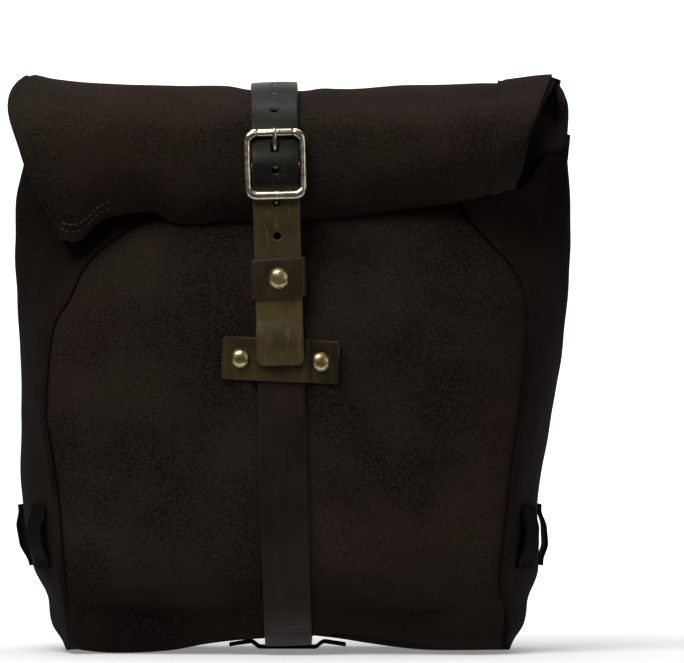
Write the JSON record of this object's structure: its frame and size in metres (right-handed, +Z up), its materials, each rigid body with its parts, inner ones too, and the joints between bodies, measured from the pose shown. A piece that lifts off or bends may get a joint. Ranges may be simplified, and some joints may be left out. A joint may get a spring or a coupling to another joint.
{
  "type": "roll-top saddle bag",
  "caption": "Dark split-leather roll-top side bag closed by a leaning belt with a roller buckle, with rack hooks on its back.",
  "frame": {"origin": "middle of the whole object's box, at its lowest level", "axes": "+Z up, -Y the front with the buckle, +Y the back that hangs on a rack, +X to the right seen from the front"},
  "size_m": [0.3562, 0.2138, 0.3693],
  "materials": {
    "suede": "rough split leather",
    "belt_leather": "smooth, waxed",
    "lining": "plain woven",
    "webbing": "ribbed webbing",
    "nickel": "warm nickel plate",
    "brass": "antique",
    "steel": "plain",
    "aluminium": "black anodised",
    "nylon": "moulded",
    "board": "plain sheet"
  },
  "bodies": {
    "bag": {"back_board": "board", "back_loop": "belt_leather", "back_panel": "suede", "belt_main": "belt_leather", "bottom_loop": "webbing", "bottom_panel": "suede", "cross_burr_left": "brass", "cross_burr_right": "brass", "cross_patch": "belt_leather", "cross_rivet_left": "brass", "cross_rivet_right": "brass", "front_panel": "suede", "hook_left": "nylon", "hook_right": "nylon", "latch_pin_left": "steel", "latch_pin_right": "steel", "left_gusset": "suede", "liner": "lining", "lower_hook_bolt": "steel", "lower_nut_1": "steel", "lower_nut_2": "steel", "lower_rail": "aluminium", "lower_screw_1": "steel", "lower_screw_2": "steel", "right_gusset": "suede", "side_loop_left_front": "webbing", "side_loop_left_rear": "webbing", "side_loop_right_front": "webbing", "side_loop_right_rear": "webbing", "top_nut_1": "steel", "top_nut_2": "steel", "top_nut_3": "steel", "top_nut_4": "steel", "top_rail": "aluminium", "top_screw_1": "steel", "top_screw_2": "steel", "top_screw_3": "steel", "top_screw_4": "steel"},
    "roll_top": {"roll_top": "suede", "strap_over": "belt_leather"},
    "strap_tail": {"strap_tail": "belt_leather"},
    "buckle_strap": {"belt_buckle_end": "belt_leather", "fold_rivet": "brass"},
    "buckle_frame": {"buckle_frame": "nickel"},
    "buckle_prong": {"buckle_prong": "nickel"},
    "buckle_roller": {"buckle_roller": "nickel"},
    "keeper": {"keeper": "belt_leather", "keeper_rivet": "brass"},
    "latch_left": {"latch_left": "nylon"},
    "latch_right": {"latch_right": "nylon"},
    "lower_hook": {"lower_hook": "nylon"}
  },
  "joints": [
    {"name": "roll_open", "type": "hinge", "parent": "bag", "child": "roll_top", "pos_m": [0, 0.0798, 0.333], "axis": [1, 0, 0], "range_deg": [-130, 0]},
    {"name": "tail_lift", "type": "hinge", "parent": "roll_top", "child": "strap_tail", "pos_m": [-0.00829, -0.0792, 0.35308], "axis": [0.9997, 0, 0.026], "range_deg": [-175, 0], "deforming": ["strap_tail"]},
    {"name": "buckle_strap_fold", "type": "hinge", "parent": "bag", "child": "buckle_strap", "pos_m": [-0.00452, -0.09284, 0.2078], "axis": [0.9997, 0, 0.026], "range_deg": [0, 135]},
    {"name": "frame_swing", "type": "hinge", "parent": "buckle_strap", "child": "buckle_frame", "pos_m": [-0.00726, -0.09932, 0.3132], "axis": [0.9997, 0, 0.026], "range_deg": [-25, 0]},
    {"name": "prong_lift", "type": "hinge", "parent": "buckle_frame", "child": "buckle_prong", "pos_m": [-0.00726, -0.09932, 0.3132], "axis": [0.9997, 0, 0.026], "range_deg": [0, 66]},
    {"name": "roller_spin", "type": "hinge", "parent": "buckle_frame", "child": "buckle_roller", "pos_m": [-0.0078, -0.10089, 0.33414], "axis": [0.9997, 0, 0.026], "continuous": true},
    {"name": "keeper_slide", "type": "slide", "parent": "buckle_strap", "child": "keeper", "axis": [-0.026, -0.0419, 0.9988], "range_m": [-0.008, 0.01]},
    {"name": "latch_left_turn", "type": "hinge", "parent": "bag", "child": "latch_left", "pos_m": [-0.08, 0.085, 0.284], "axis": [-1, 0, 0], "range_deg": [0, 75], "stiffness_Nm_per_rad": 0.02, "springref_deg": -17.19},
    {"name": "latch_right_turn", "type": "hinge", "parent": "bag", "child": "latch_right", "pos_m": [0.08, 0.085, 0.284], "axis": [-1, 0, 0], "range_deg": [0, 75], "stiffness_Nm_per_rad": 0.02, "springref_deg": -17.19},
    {"name": "lower_hook_swing", "type": "hinge", "parent": "bag", "child": "lower_hook", "pos_m": [0, 0.085, 0.12], "axis": [0, 1, 0], "range_deg": [-60, 60]}
  ],
  "couplings": [
    {"joint": "tail_lift", "follows": "roll_open", "ratio": 1.346},
    {"joint": "buckle_strap_fold", "follows": "roll_open", "ratio": -1.0385},
    {"joint": "frame_swing", "follows": "roll_open", "ratio": 0.19},
    {"joint": "prong_lift", "follows": "roll_open", "ratio": -0.5}
  ]
}
